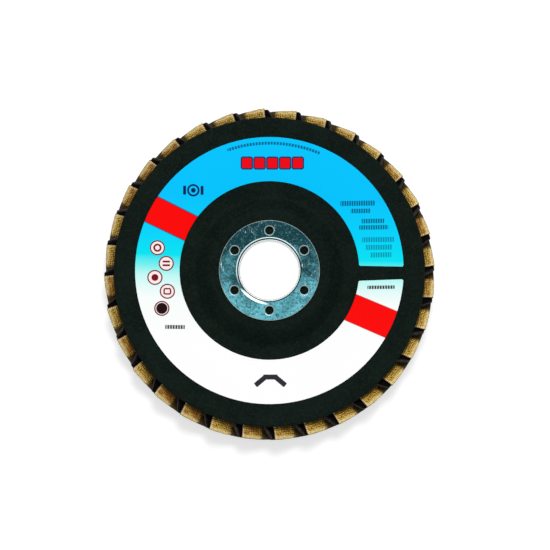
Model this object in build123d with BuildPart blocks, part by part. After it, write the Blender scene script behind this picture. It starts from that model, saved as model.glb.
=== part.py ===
"""Conical (type 29) flap disc, 125 mm, for an angle grinder.

Frame: the disc axis is Z, and the back of the disc, which faces the grinder, looks along +Z.
The disc lies on its flaps, and Z = 0 is where their inner corners touch the ground.
"""

from build123d import *
import os
from math import cos, radians, sin, sqrt, tan

os.makedirs("parts", exist_ok=True)

# ---- Driving dimensions, in millimetres and degrees ----

disc_d = 125.0  # across the outermost corners of the flaps
bore_d = 22.23  # standard arbor bore
cone_angle = 7.25  # the rim of the plate rises towards the back

plate_d = 117.2
plate_t = 2.3
plate_bore_r = 12.3
plate_rim_bevel = 0.6
hub_top_r = 23.0
hub_foot_r = 28.1
hub_rise = 4.0
hub_bend_r = 3.0

ring_r = 19.0
ring_t = 0.8
ring_edge_bevel = 0.25
bore_entry_bevel = 0.8
lip_r = 13.4
lip_t = 0.8
lip_bevel = 0.3

anchor_count = 6
anchor_pcd_r = 15.1
anchor_hole_r = 1.5
anchor_entry_bevel = 0.5
anchor_spigot_r = 2.1
anchor_depth = 0.9

label_inner_r = 34.0
label_outer_r = 50.6
label_t = 0.15
label_slot_inner = (-3.6, 1.9)  # lower and upper side of the slot at the label's inner edge
label_slot_outer = (-3.3, 1.4)  # and at its outer edge

flap_count = 32
flap_length = 25.0  # along the root
flap_width = 18.0  # from the root to the free edge
flap_t = 1.1
flap_lean = 30.0
flap_root_offset = -6.1  # the root lies this far before the flap's radial line
glue_line = 0.3  # resin between the plate and the roots of the flaps
first_flap_angle = 7.75  # radial line of the first flap

interleaf_offset = 3.5  # an interleaf starts this far before the flap that covers it
interleaf_clip_length = 4.7  # its clipped outer corner, along the radius
interleaf_clip_width = 2.3  # and across it

bed_inner_r = 36.4
bed_outer_r = 57.8
bed_t = 1.15

# ---- Values worked out from them ----

bore_r = bore_d / 2
cone_rise = tan(radians(cone_angle))
cone_cos = cos(radians(cone_angle))
cone_sin = sin(radians(cone_angle))
lean_cos = cos(radians(flap_lean))
lean_sin = sin(radians(flap_lean))
flap_pitch = 360 / flap_count

# The outermost corner of a flap is on its front face, at the root. The back face, on which
# the outline is drawn, is trimmed to a circle a little inside that.
front_root_offset = flap_root_offset - flap_t * lean_sin
flap_outer = sqrt((disc_d / 2) ** 2 - front_root_offset**2) - flap_t * lean_cos * cone_sin
flap_inner = flap_outer - flap_length * cone_cos
trim_r = sqrt(flap_outer**2 + flap_root_offset**2)

# The disc lies on the free inner corners of its flaps, which sets the height of the plate.
flap_drop = (flap_width * lean_sin + flap_t * lean_cos) * cone_cos
front_apex_z = flap_drop + glue_line - flap_inner * cone_rise
back_apex_z = front_apex_z + plate_t / cone_cos
label_apex_z = back_apex_z + label_t / cone_cos
bed_apex_z = front_apex_z - bed_t / cone_cos

hub_top_z = back_apex_z + hub_foot_r * cone_rise + hub_rise
ring_top_z = hub_top_z + ring_t
hub_front_z = hub_top_z - plate_t
lip_bottom_z = hub_front_z - lip_t


def on_cone(r, apex_z):
    """The point (r, z) at radius r on the cone of the disc whose apex is at apex_z."""
    return (r, apex_z + r * cone_rise)


def write(piece, name):
    """Label a finished piece and write it to its own file."""
    piece.part.label = name
    export_step(piece.part, f"parts/{name}.step")


# ---- Backing plate: one pressed sheet of even thickness, with a pocket for each spigot ----

with BuildPart() as backing_plate:
    with BuildSketch(Plane.XZ):
        with BuildLine():
            Polyline(
                (plate_bore_r, hub_top_z),
                (hub_top_r, hub_top_z),
                on_cone(hub_foot_r, back_apex_z),
                on_cone(plate_d / 2, back_apex_z),
            )
            fillet(vertices().sort_by(Axis.X)[1:3], radius=hub_bend_r)
            offset(amount=plate_t, side=Side.RIGHT)
        make_face()
        chamfer(vertices().sort_by(Axis.X)[-2:], length=plate_rim_bevel)
    revolve(axis=Axis.Z)
    with Locations((0, 0, hub_top_z)):
        with PolarLocations(anchor_pcd_r, anchor_count, start_angle=90):
            Hole(anchor_spigot_r, depth=anchor_depth)
write(backing_plate, "backing_plate")

# ---- Arbor ring: a flange on the back, a sleeve through the plate and a clinched lip ----

with BuildPart() as arbor_ring:
    with BuildSketch(Plane.XZ):
        with BuildLine():
            Polyline(
                (bore_r, lip_bottom_z),
                (lip_r, lip_bottom_z),
                (lip_r, hub_front_z),
                (plate_bore_r, hub_front_z),
                (plate_bore_r, hub_top_z),
                (ring_r, hub_top_z),
                (ring_r, ring_top_z),
                (bore_r, ring_top_z),
                close=True,
            )
        make_face()
        entry_corner = vertices().group_by(Axis.Y)[-1].sort_by(Axis.X)[0]
        flange_corner = vertices().group_by(Axis.Y)[-1].sort_by(Axis.X)[-1]
        lip_corner = vertices().group_by(Axis.Y)[0].sort_by(Axis.X)[-1]
        chamfer(entry_corner, length=bore_entry_bevel)
        chamfer(flange_corner, length=ring_edge_bevel)
        chamfer(lip_corner, length=lip_bevel)
    revolve(axis=Axis.Z)
    with Locations((0, 0, hub_top_z)):
        with PolarLocations(anchor_pcd_r, anchor_count, start_angle=90):
            Cylinder(anchor_spigot_r, anchor_depth, align=(Align.CENTER, Align.CENTER, Align.MAX))
    with Locations((0, 0, ring_top_z)):
        with PolarLocations(anchor_pcd_r, anchor_count, start_angle=90):
            Hole(anchor_hole_r, depth=ring_t + anchor_depth)
    entries = edges().filter_by(GeomType.CIRCLE).filter_by(lambda e: e.radius == anchor_hole_r)
    chamfer(entries.group_by(Axis.Z)[-1], length=anchor_entry_bevel)
write(arbor_ring, "arbor_ring")

# ---- Label: a paper ring glued to the cone, open on one side ----

with BuildPart() as label:
    with BuildSketch(Plane.XZ):
        with BuildLine():
            Polyline(
                on_cone(label_inner_r, back_apex_z),
                on_cone(label_outer_r, back_apex_z),
                on_cone(label_outer_r, label_apex_z),
                on_cone(label_inner_r, label_apex_z),
                close=True,
            )
        make_face()
    revolve(axis=Axis.Z)
    with BuildSketch(Plane.XY.offset(back_apex_z)):
        with BuildLine():
            Polyline(
                (label_inner_r - label_t, label_slot_inner[0]),
                (label_outer_r + label_t, label_slot_outer[0]),
                (label_outer_r + label_t, label_slot_outer[1]),
                (label_inner_r - label_t, label_slot_inner[1]),
                close=True,
            )
        make_face()
    extrude(amount=ring_top_z, mode=Mode.SUBTRACT)
write(label, "label")


# ---- Flaps: flat slabs that lean away from the plate and overlap like roof tiles ----


def trimmed_length(offset, y):
    """Length at which a flap reaches the trimming circle, at the distance y from its root.

    offset is the flap's root offset. A flap leans away from the plate and follows the cone,
    so it spreads outwards towards its free edge, and the length makes up for that.
    """
    sideways = offset + y * lean_cos
    spread = y * lean_sin * cone_sin
    return (sqrt(trim_r**2 - sideways**2) - spread - flap_inner) / cone_cos


def flap_plane(angle, offset):
    """Back face of a flap at the inner end of its root: X runs outwards and Y to the free edge.

    angle turns the flap's radial line about the disc axis, and offset moves the root sideways
    from that line. The face leans by flap_lean about its root, then follows the cone.
    """
    spin = Rot(Z=angle)
    tilt = Rot(Y=-cone_angle) * Rot(X=-flap_lean)
    height = on_cone(flap_inner, front_apex_z)[1] - glue_line
    return Plane(spin * Pos(flap_inner, offset, height) * tilt)


def make_flap(angle):
    """One golden flap, its outer end trimmed in two straight cuts."""
    middle = flap_width / 2
    with BuildPart() as flap:
        with BuildSketch(flap_plane(angle, flap_root_offset)):
            with BuildLine():
                Polyline(
                    (0, 0),
                    (flap_length, 0),
                    (trimmed_length(flap_root_offset, middle), middle),
                    (trimmed_length(flap_root_offset, flap_width), flap_width),
                    (0, flap_width),
                    close=True,
                )
            make_face()
        extrude(amount=-flap_t)
    return flap


def make_interleaf(angle):
    """One dark flap, trimmed like a golden one and with its outer root corner clipped off."""
    offset = flap_root_offset - interleaf_offset
    middle = flap_width / 2
    with BuildPart() as interleaf:
        with BuildSketch(flap_plane(angle, offset)):
            with BuildLine():
                Polyline(
                    (0, 0),
                    (trimmed_length(offset, 0) - interleaf_clip_length, 0),
                    (trimmed_length(offset, interleaf_clip_width), interleaf_clip_width),
                    (trimmed_length(offset, middle), middle),
                    (trimmed_length(offset, flap_width), flap_width),
                    (0, flap_width),
                    close=True,
                )
            make_face()
        extrude(amount=-flap_t)
    return interleaf


flap_angles = [first_flap_angle + flap_pitch * n for n in range(flap_count)]
flaps = [make_flap(angle) for angle in flap_angles]
interleaves = [make_interleaf(angle) for angle in flap_angles]

for number, flap in enumerate(flaps, start=1):
    write(flap, f"flap_{number:02d}")

for number in range(flap_count // 2):
    with BuildPart() as pair:
        add(interleaves[2 * number].part)
        add(interleaves[2 * number + 1].part)
    write(pair, f"interleaf_{number + 1:02d}")

# ---- Adhesive bed: a ring of resin on the cone, with the print of every flap in it ----

with BuildPart() as adhesive_bed:
    with BuildSketch(Plane.XZ):
        with BuildLine():
            Polyline(
                on_cone(bed_inner_r, front_apex_z),
                on_cone(bed_outer_r, front_apex_z),
                on_cone(bed_outer_r, bed_apex_z),
                on_cone(bed_inner_r, bed_apex_z),
                close=True,
            )
        make_face()
    revolve(axis=Axis.Z)
    for flap in flaps + interleaves:
        add(flap.part, mode=Mode.SUBTRACT)
write(adhesive_bed, "adhesive_bed")

print(f"height {ring_top_z:.3f} mm, flaps from {flap_inner:.2f} to {flap_outer:.2f} mm")
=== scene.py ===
# %% [markdown]
# # Dressing a conical flap disc
# A flap disc is a grinding disc for an angle grinder. Its edge is a ring of cloth flaps
# coated with abrasive grain, set in resin under a black moulded plate and overlapping
# like roof tiles. A zinc-plated steel ring guards the bore, and a printed paper ring is
# glued round the hub.
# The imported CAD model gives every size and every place. This lesson gives each of its
# pieces the surface of the real thing, in the same frame and without moving anything.

# %% Load the frame
import math

import bpy
import numpy as np
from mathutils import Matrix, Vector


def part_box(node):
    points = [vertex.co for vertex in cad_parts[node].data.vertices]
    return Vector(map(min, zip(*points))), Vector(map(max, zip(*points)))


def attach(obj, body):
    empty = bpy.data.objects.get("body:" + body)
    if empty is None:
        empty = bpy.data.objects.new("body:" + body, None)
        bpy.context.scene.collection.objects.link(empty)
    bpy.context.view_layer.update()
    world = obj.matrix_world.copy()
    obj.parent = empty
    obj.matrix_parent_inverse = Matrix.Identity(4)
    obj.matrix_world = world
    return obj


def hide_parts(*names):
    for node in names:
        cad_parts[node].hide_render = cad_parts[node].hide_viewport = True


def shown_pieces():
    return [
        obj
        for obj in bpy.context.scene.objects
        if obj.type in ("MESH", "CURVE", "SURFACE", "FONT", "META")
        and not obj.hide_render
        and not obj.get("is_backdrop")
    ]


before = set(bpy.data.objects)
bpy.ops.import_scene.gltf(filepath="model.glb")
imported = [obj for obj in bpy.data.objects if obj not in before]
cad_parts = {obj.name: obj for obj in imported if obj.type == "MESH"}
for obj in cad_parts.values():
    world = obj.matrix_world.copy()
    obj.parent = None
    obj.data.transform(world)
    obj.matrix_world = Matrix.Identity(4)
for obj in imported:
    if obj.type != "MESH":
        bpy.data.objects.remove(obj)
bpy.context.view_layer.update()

print("nodes:", len(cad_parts))

# %% [markdown]
# ## Sizes
# Blender works in metres and the CAD in millimetres. Every shape below is worked out in
# millimetres, the unit a maker of discs thinks in, and the last step into a mesh turns
# it into metres.
# The heights could be typed in again, but then they could drift away from the CAD.
# They are read from the boxes of the CAD nodes instead, and only the sizes that a box
# doesn't show are written here.

# %% Name the sizes, in millimetres and degrees
MM = 0.001

bore_r = 22.23 / 2
ring_top = 1000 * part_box("arbor_ring")[1].z
hub_top = 1000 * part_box("backing_plate")[1].z
ring_t = ring_top - hub_top
plate_t = 2.3
plate_r = 58.6
cone_angle = math.radians(7.25)
cone_rise = math.tan(cone_angle)
hub_foot_r = 28.1
hub_rise = 4.0
back_apex = hub_top - hub_rise - hub_foot_r * cone_rise
front_apex = back_apex - plate_t / math.cos(cone_angle)

print(f"hub at {hub_top:.3f} mm, ring {ring_t:.3f} mm thick")
print(f"cone apexes at {back_apex:.3f} and {front_apex:.3f} mm")

# %% [markdown]
# ## Skins from grids
# Nearly every piece here is a grid of points: a profile carried round the axis, or a
# flat piece of cloth with its thickness. A grid could be typed point by point or built
# with bmesh operators. Working it out as whole numpy arrays keeps the formula in sight
# and is fast, and the same few lines then turn any grid into faces.


# %% Turn grids of points into faces
def quads(rows, columns, closed=False):
    """Corner numbers of the four-sided faces between neighbouring lines of a grid.

    Point (i, j) has number i * columns + j, and a face joins (i, j), (i + 1, j),
    (i + 1, j + 1) and (i, j + 1). A closed grid joins its last column to its first.
    """
    i = np.arange(rows - 1)[:, None]
    j = np.arange(columns if closed else columns - 1)[None, :]
    below = i + 1
    beside = (j + 1) % columns
    corners = (i * columns + j, below * columns + j, below * columns + beside, i * columns + beside)
    return np.stack(np.broadcast_arrays(*corners), axis=-1).reshape(-1, 4)


def rim_of(rows, columns):
    """Corner numbers round the edge of such a grid, in order."""
    number = np.arange(rows * columns).reshape(rows, columns)
    return np.concatenate([number[0, :-1], number[:-1, -1], number[-1, :0:-1], number[:0:-1, 0]])


def join(patches):
    """One list of points and one of faces from several (points, faces) patches.

    Points that agree to a micrometre become one point, so patches that share an edge
    are sewn together along it. The odd fraction that is added keeps sizes with few
    digits away from the limit between two micrometres.
    """
    steps_a_mm = 1000
    off_the_limit = 0.317
    counts = [len(points) for points, _ in patches]
    starts = np.cumsum([0] + counts[:-1])
    points = np.concatenate([points for points, _ in patches])
    faces = np.concatenate([faces + start for (_, faces), start in zip(patches, starts)])
    places = np.floor(points * steps_a_mm + off_the_limit).astype(np.int64)
    _, first, number = np.unique(places, axis=0, return_index=True, return_inverse=True)
    return points[first], number.ravel()[faces]


def enclosed(points, faces):
    """Volume inside a closed skin: the sum of a . (b x c) / 6 over its triangles."""
    a, b, c, d = (points[faces[:, corner]] for corner in range(4))
    halves = np.einsum("ij,ij->", a, np.cross(b, c)) + np.einsum("ij,ij->", a, np.cross(c, d))
    return halves / 6


# %% [markdown]
# A skin's faces have to look outwards, or the shading and the exported model turn
# inside out. Recalculating normals in edit mode would do it, and so does this: a closed
# skin whose faces look outwards encloses a positive volume, so a negative one is turned.


# %% Write a skin into a new object
def put_piece(name, points, faces, rough_faces=None, sharp=None, marks=None):
    """A new object at the origin with this skin, from points in millimetres.

    rough_faces marks the faces that are shaded flat. sharp is the angle past which a
    smooth edge is creased. marks are attributes, with one row for each point.
    A face with corners that were sewn together keeps each of them once, and a face
    with fewer than three left is dropped.
    """
    if enclosed(points, faces) < 0:
        faces = faces[:, ::-1]
    repeated = faces == np.roll(faces, -1, axis=1)
    real = repeated.sum(axis=1) < 2
    corners = ~repeated[real]
    sizes = corners.sum(axis=1)
    mesh = bpy.data.meshes.new(name)
    mesh.vertices.add(len(points))
    mesh.vertices.foreach_set("co", (points * MM).astype(np.float32).ravel())
    mesh.loops.add(int(sizes.sum()))
    mesh.loops.foreach_set("vertex_index", faces[real][corners].astype(np.int32))
    mesh.polygons.add(len(sizes))
    mesh.polygons.foreach_set("loop_start", (np.cumsum(sizes) - sizes).astype(np.int32))
    smooth = np.ones(len(sizes), bool) if rough_faces is None else ~rough_faces[real]
    mesh.polygons.foreach_set("use_smooth", smooth)
    mesh.update(calc_edges=True)
    if sharp is not None:
        mesh.set_sharp_from_angle(angle=math.radians(sharp))
    for mark, values in (marks or {}).items():
        values = np.asarray(values, np.float32)
        kind, field = ("FLOAT", "value") if values.ndim == 1 else ("FLOAT_VECTOR", "vector")
        mesh.attributes.new(mark, kind, "POINT").data.foreach_set(field, values.ravel())
    piece = bpy.data.objects.new(name, mesh)
    bpy.context.scene.collection.objects.link(piece)
    return piece


def hand_over(piece, slot, *nodes):
    """The piece rides on the disc and stands for these CAD nodes, which are hidden. slot is not used.
    """
    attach(piece, "root")
    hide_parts(*nodes)


# %% [markdown]
# ## Turned pieces
# The plate and the steel ring are round, so each is a profile in (radius, height)
# carried round the axis. Blender's Screw modifier or Spin would do that too, but they
# can't leave room for the six holes, which are set in below.
# A pressed sheet has the same thickness everywhere, so its two sides bend about the same
# centres. The bend function returns the direction from that centre, and the other side
# of the sheet is a step along it.


# %% Profiles and bends
def bend(before, corner, after, radius, steps=10):
    """An arc that touches both legs of a corner, and the unit vectors from its centre.

    The centre lies on the bisector of the corner, radius / sin(half the angle) from it.
    """
    before, corner, after = (np.array(p, float) for p in (before, corner, after))
    leg_in = (before - corner) / np.linalg.norm(before - corner)
    leg_out = (after - corner) / np.linalg.norm(after - corner)
    half = math.acos(float(leg_in @ leg_out)) / 2
    middle = (leg_in + leg_out) / np.linalg.norm(leg_in + leg_out)
    centre = corner + middle * radius / math.sin(half)
    start = corner + leg_in * radius / math.tan(half) - centre
    end = corner + leg_out * radius / math.tan(half) - centre
    turn = math.atan2(start[0] * end[1] - start[1] * end[0], float(start @ end))
    angle = math.atan2(start[1], start[0]) + np.linspace(0, turn, steps + 1)
    outward = np.stack([np.cos(angle), np.sin(angle)], axis=-1)
    return centre + radius * outward, outward


def turned(profile, steps):
    """A profile of (radius, height) points carried round the axis.

    Point (i, j) is (r cos a, r sin a, z) with r, z from the profile and a = 2 pi j / steps.
    """
    r, z = np.array(profile, float).T[:, :, None]
    angle = np.arange(steps) * 2 * math.pi / steps
    heights = np.broadcast_to(z, (len(z), steps))
    points = np.stack([r * np.cos(angle), r * np.sin(angle), heights], axis=-1)
    return points.reshape(-1, 3), quads(len(r), steps, closed=True)


def spin(angle):
    """The matrix that turns rows of points about the axis of the disc by this angle."""
    c, s = math.cos(angle), math.sin(angle)
    return np.array([[c, s, 0], [-s, c, 0], [0, 0, 1]])


def on_cone(r, apex):
    """The point at radius r on a cone whose tip is at height apex."""
    return (r, apex + r * cone_rise)


# %% [markdown]
# ## Six pierced holes
# The steel ring is pierced six times, and the burr of each hole bites into the plate
# like a rivet. Cutting them with a Boolean would leave long thin triangles that spoil
# the shading of the flat steel.
# The flat face is divided into six equal sectors instead. In each of them, straight
# lines run from the round hole to the outline of the sector, so the grid flows from the
# circle to the edges and all six fit each other and the turned part.

# %% A flat face with six holes
hole_count = 6
hole_pcd_r = 15.1
arc_steps = 32
side_steps = 8
around = hole_count * arc_steps


def sector_outline(inner_r, outer_r):
    """The outline of one sector about the X axis, walked once round the hole.

    It is the inner arc, a straight side, the outer arc back and the other side, with
    points at the same angles as the turned part has.
    """
    half = math.pi / hole_count
    arc = np.linspace(-half, half, arc_steps, endpoint=False)
    side = np.linspace(inner_r, outer_r, side_steps, endpoint=False)
    inner, outer = np.full(arc_steps, inner_r), np.full(arc_steps, outer_r)
    r = np.concatenate([inner, side, outer, inner_r + outer_r - side])
    a = np.concatenate([arc, np.full(side_steps, half), -arc, np.full(side_steps, -half)])
    return np.stack([r * np.cos(a), r * np.sin(a)], axis=-1)


def pierced(hole, below, above, rows=7):
    """Six sectors, each with a hole of this (radius, height) profile, walked upwards.

    below and above are (inner radius, outer radius) of the flat faces that the profile
    starts and ends in, or None. A flat face is the circle of the hole moved in equal
    steps to the outline of the sector.
    """
    from_hole = sector_outline(*above) - (hole_pcd_r, 0)
    angle = np.arctan2(from_hole[:, 1], from_hole[:, 0])
    circle = np.stack([np.cos(angle), np.sin(angle)], axis=-1)
    hole = np.array(hole, float)
    well = (hole_pcd_r, 0) + hole[:, :1, None] * circle
    heights = hole[:, 1]
    share = np.linspace(0, 1, rows)[1:, None, None]
    if below:
        lower_face = well[0] + share[::-1] * (sector_outline(*below) - well[0])
        well = np.concatenate([lower_face, well])
        heights = np.concatenate([np.full(rows - 1, heights[0]), heights])
    upper_face = well[-1] + share * (sector_outline(*above) - well[-1])
    well = np.concatenate([well, upper_face])
    heights = np.concatenate([heights, np.full(rows - 1, heights[-1])])
    levels = np.broadcast_to(heights[:, None, None], (*well.shape[:2], 1))
    sector = np.concatenate([well, levels], axis=-1).reshape(-1, 3)
    faces = quads(*well.shape[:2], closed=True)
    turns = np.radians(90 + 360 / hole_count * np.arange(hole_count))
    return [(sector @ spin(turn), faces) for turn in turns]


# %% [markdown]
# ## The backing plate
# The plate is glass-filled resin pressed to one thickness: a flat hub, a short slope
# down, and a cone that rises to the rim. It could be a revolved curve with a Solidify
# modifier. Here both sides are written down, because the moulded rim is rounded and six
# blind pockets take the burrs of the ring.

# %% Build the plate
pocket_r = 2.1
pocket_depth = 0.9
plate_bore_r = 12.3
hub_top_r = 23.0
hub_flat_r = 19.8
hub_bend_r = 3.0
rim_round_r = 0.6
cone_lines = 12
sharp_past = 40  # degrees

hub = (hub_flat_r, hub_top)
shoulder = (hub_top_r, hub_top)
foot = on_cone(hub_foot_r, back_apex)
back_rim = on_cone(plate_r, back_apex)
front_rim = on_cone(plate_r, front_apex)
front_face = on_cone(30, front_apex)

shoulder_arc, shoulder_out = bend(hub, shoulder, foot, hub_bend_r)
foot_arc, foot_out = bend(shoulder, foot, back_rim, hub_bend_r)
rim_arc, _ = bend(foot, back_rim, front_rim, rim_round_r, steps=6)
lower_rim_arc, _ = bend(back_rim, front_rim, front_face, rim_round_r, steps=6)
front_foot = foot_arc + plate_t * foot_out
front_shoulder = shoulder_arc - plate_t * shoulder_out

plate_profile = np.concatenate(
    [
        [hub],
        shoulder_arc,
        foot_arc,
        np.linspace(foot_arc[-1], rim_arc[0], cone_lines)[1:-1],
        rim_arc,
        lower_rim_arc,
        front_foot[::-1],
        front_shoulder[::-1],
        [(plate_bore_r, hub_top - plate_t), (plate_bore_r, hub_top)],
    ]
)
pocket = [
    (0, hub_top - pocket_depth),
    (pocket_r, hub_top - pocket_depth),
    (pocket_r, hub_top),
]
plate_skin = join([turned(plate_profile, around), *pierced(pocket, None, (plate_bore_r, hub_flat_r))])
plate = put_piece("resin_plate", *plate_skin, sharp=sharp_past)
hand_over(plate, "plate_resin", "backing_plate")
print(f"plate: {len(plate_skin[1])} faces, {enclosed(*plate_skin) / 1000:.2f} cm3")

# %% [markdown]
# ## The arbor ring
# The ring is stamped from thin zinc-plated steel. Its flange lies on the hub, its sleeve
# goes down through the plate, and a lip is rolled over at the front. Stamping rounds
# every edge it pulls on, and those roundings catch the light as thin bright lines, so
# they are real geometry: the mouth of the bore, the outer edge and the mouth of each
# hole.

# %% Build the ring
ring_r = 19.0
lip_r = 13.4
lip_t = 0.8
hole_r = 1.5
hole_mouth_r = 0.55
bore_mouth_r = 0.8
ring_edge_r = 0.3
lip_inside_r = 0.25
lip_outside_r = 0.35
hub_front = hub_top - plate_t
lip_bottom = hub_front - lip_t
ring_flat_r = ring_r - ring_edge_r
bore_flat_r = bore_r + 0.95
ring_corner = (ring_r, ring_top)
bore_corner = (bore_r, ring_top)
bore_foot = (bore_r, lip_bottom)
lip_foot = (lip_r, lip_bottom)

outer_edge, _ = bend((0, ring_top), ring_corner, (ring_r, hub_top), ring_edge_r, steps=6)
bore_mouth, _ = bend((bore_r, 0), bore_corner, ring_corner, bore_mouth_r, steps=8)
lip_inside, _ = bend(lip_foot, bore_foot, bore_corner, lip_inside_r, steps=4)
lip_outside, _ = bend((lip_r, hub_front), lip_foot, bore_foot, lip_outside_r, steps=4)
hole_mouth, _ = bend((hole_r, 0), (hole_r, ring_top), ring_corner, hole_mouth_r, steps=6)

edge_profile = np.concatenate([[(ring_flat_r, ring_top)], outer_edge[1:], [(ring_r, hub_top)]])
sleeve_profile = np.concatenate(
    [
        [(plate_bore_r, hub_top), (plate_bore_r, hub_front), (lip_r, hub_front)],
        lip_outside,
        lip_inside,
        bore_mouth,
        [(bore_flat_r, ring_top)],
    ]
)
print("ring profiles:", len(edge_profile), "and", len(sleeve_profile), "points")

burr = np.concatenate(
    [
        [(pocket_r, hub_top), (pocket_r, hub_top - pocket_depth), (hole_r, hub_top - pocket_depth)],
        hole_mouth,
    ]
)
ring_skin = join(
    [
        turned(edge_profile, around),
        turned(sleeve_profile, around),
        *pierced(burr, (plate_bore_r, ring_r), (bore_flat_r, ring_flat_r)),
    ]
)
ring = put_piece("zinc_ring", *ring_skin, sharp=sharp_past)
hand_over(ring, "zinc_steel", "arbor_ring")
print(f"ring: {len(ring_skin[1])} faces, {enclosed(*ring_skin) / 1000:.3f} cm3")

# %% [markdown]
# ## The paper label
# The label is die-cut from coated paper and glued to the cone. One side is open, so that
# it can lie flat on a cone although it was printed on a flat sheet.
# Two numbers place every point of it: the share of the way round, from one side of the
# opening to the other, and the share of the way out. The cut corners of real labels are
# slightly round, so the paper is narrower within half a millimetre of the opening. It was
# stuck on by hand, half a millimetre off the axis.

# %% Build the label
label_inner_r = 34.0
label_outer_r = 50.6
label_t = 0.15
label_shift = 0.5
slot_upper = (1.55, 1.05)
slot_lower = (-4.1, -3.8)
corner_r = 0.4
label_lines = 720
label_rows = 12


def label_skin(lines, rows):
    """Underside and top of the label, as the points of two grids with one rim.

    A share t of the way out, the opening's sides lie at heights y(t), and the angle of a
    point runs from asin(y_upper / r) to 2 pi + asin(y_lower / r). Within corner_r of the
    opening both edges draw in by corner_r - sqrt(corner_r^2 - (corner_r - distance)^2).
    """
    out = np.linspace(0, 1, rows)[:, None]
    turn = np.linspace(0, 1, lines)[None, :]
    r = label_inner_r + out * (label_outer_r - label_inner_r)
    start = np.arcsin((slot_upper[0] + out * (slot_upper[1] - slot_upper[0])) / r)
    end = 2 * math.pi + np.arcsin((slot_lower[0] + out * (slot_lower[1] - slot_lower[0])) / r)
    angle = start + turn * (end - start)
    from_slot = np.minimum(turn, 1 - turn) * (end - start) * r
    short = np.clip(corner_r - from_slot, 0, corner_r)
    draw_in = corner_r - np.sqrt(corner_r**2 - short**2)
    r = r + draw_in * (1 - 2 * out)
    x, y = r * np.cos(angle), r * np.sin(angle) + label_shift
    flat = np.stack([x, y, back_apex + np.hypot(x, y) * cone_rise], axis=-1)
    top = flat + (0, 0, label_t / math.cos(cone_angle))
    return np.stack([flat, top]).reshape(-1, 3)


label_points = label_skin(label_lines, label_rows)
face = quads(label_rows, label_lines)
count = label_rows * label_lines
rim = rim_of(label_rows, label_lines)
wall = np.stack([rim, np.roll(rim, -1), np.roll(rim, -1) + count, rim + count], axis=-1)
label_faces = np.concatenate([face[:, ::-1], face + count, wall])
label = put_piece("paper_label", label_points, label_faces, sharp=sharp_past)
hand_over(label, "label_paper", "label")
print(f"label: {len(label_faces)} faces, {enclosed(label_points, label_faces):.0f} mm3")

# %% [markdown]
# ## Where a flap lies
# Each flap is a flat piece of abrasive cloth. It starts under the plate at its root and
# leans away, and the next one covers most of it. All are alike and turned about the
# axis by one pitch.
# Objects could share one mesh and be turned, but a finished piece stays unturned here,
# so each flap has its own mesh, worked out from the same three directions: outwards
# along the flap, across it from the root to the free edge, and up through the cloth.

# %% Directions and place of a flap
flap_count = 32
flap_pitch = 2 * math.pi / flap_count
first_flap = math.radians(7.75)
flap_length = 25.0
flap_width = 18.0
flap_t = 1.1
flap_lean = math.radians(30)
root_offset = -6.1
interleaf_offset = root_offset - 3.5
glue_line = 0.3
disc_r = 62.5
slip = 0.13

front_root_offset = root_offset - flap_t * math.sin(flap_lean)
front_reach = flap_t * math.cos(flap_lean) * math.sin(cone_angle)
flap_outer = math.sqrt(disc_r**2 - front_root_offset**2) - front_reach
flap_inner = flap_outer - flap_length * math.cos(cone_angle)
flap_height = front_apex + flap_inner * cone_rise - glue_line
trim_r = math.hypot(flap_outer, root_offset)


def trimmed_length(offset, y):
    """Length at which a flap reaches the trimming circle, at distance y from its root.

    The end lies at x = sqrt(trim_r^2 - (offset + y cos lean)^2) from the axis, and the
    lean has already moved the cloth outwards by y sin lean sin cone.
    """
    sideways = offset + y * math.cos(flap_lean)
    spread = y * math.sin(flap_lean) * math.sin(cone_angle)
    return (np.sqrt(trim_r**2 - sideways**2) - spread - flap_inner) / math.cos(cone_angle)


def slipped(angle):
    """How far outwards of its drawn place a flap sits: slip * (1 - sin angle)^3.

    The ring of flaps was pressed on slightly off centre, so it stands out further on
    the side at 270 degrees.
    """
    return slip * (1 - math.sin(angle)) ** 3


def flap_place(angle, offset):
    """Corner and directions of the flap whose radial line is at this angle.

    The flap is turned about its root by the lean, then tipped along the cone, set at
    its offset from the radial line, and carried round the axis.
    """
    lean, cone = flap_lean, cone_angle
    outwards = (math.cos(cone), 0, math.sin(cone))
    across = (math.sin(lean) * math.sin(cone), math.cos(lean), -math.sin(lean) * math.cos(cone))
    up = (-math.sin(cone) * math.cos(lean), math.sin(lean), math.cos(cone) * math.cos(lean))
    corner = np.array([flap_inner, offset, flap_height])
    return corner @ spin(angle), np.array([outwards, across, up]) @ spin(angle)


corner, directions = flap_place(first_flap, root_offset)
free_length = float(trimmed_length(root_offset, flap_width))
ends = [(0, 0), (flap_length, 0), (0, flap_width), (free_length, flap_width)]
corners = corner + np.array([(x, y, z) for x, y in ends for z in (0, -flap_t)]) @ directions
node_low, node_high = (1000 * np.array(v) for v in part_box("flap_01"))
miss = max(np.abs(corners.min(axis=0) - node_low).max(), np.abs(corners.max(axis=0) - node_high).max())
print(f"flap from {flap_inner:.3f} to {flap_outer:.3f} mm, {miss:.4f} mm from the CAD node")

# %% [markdown]
# ## Cloth with its cut edges
# The cloth of a flap is woven yarn stiffened with resin, with a layer of abrasive grain
# on the front. A plain slab would show neither. A displacement modifier could roughen
# it, but the yarns and the grain need different relief on the two sides.
# So both sides are grids, with lines close together along the root and at the outer end
# that stands out past the plate, where single yarns can be seen, and four bands of wall
# between the two sides.

# %% A grid for one flap
yarn_pitch = 0.75
shown_length = 5.2
root_strip = 2
hidden_lines = 30
shown_lines = 35
root_lines = 9
other_lines = 34
wall_bands = 4

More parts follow.
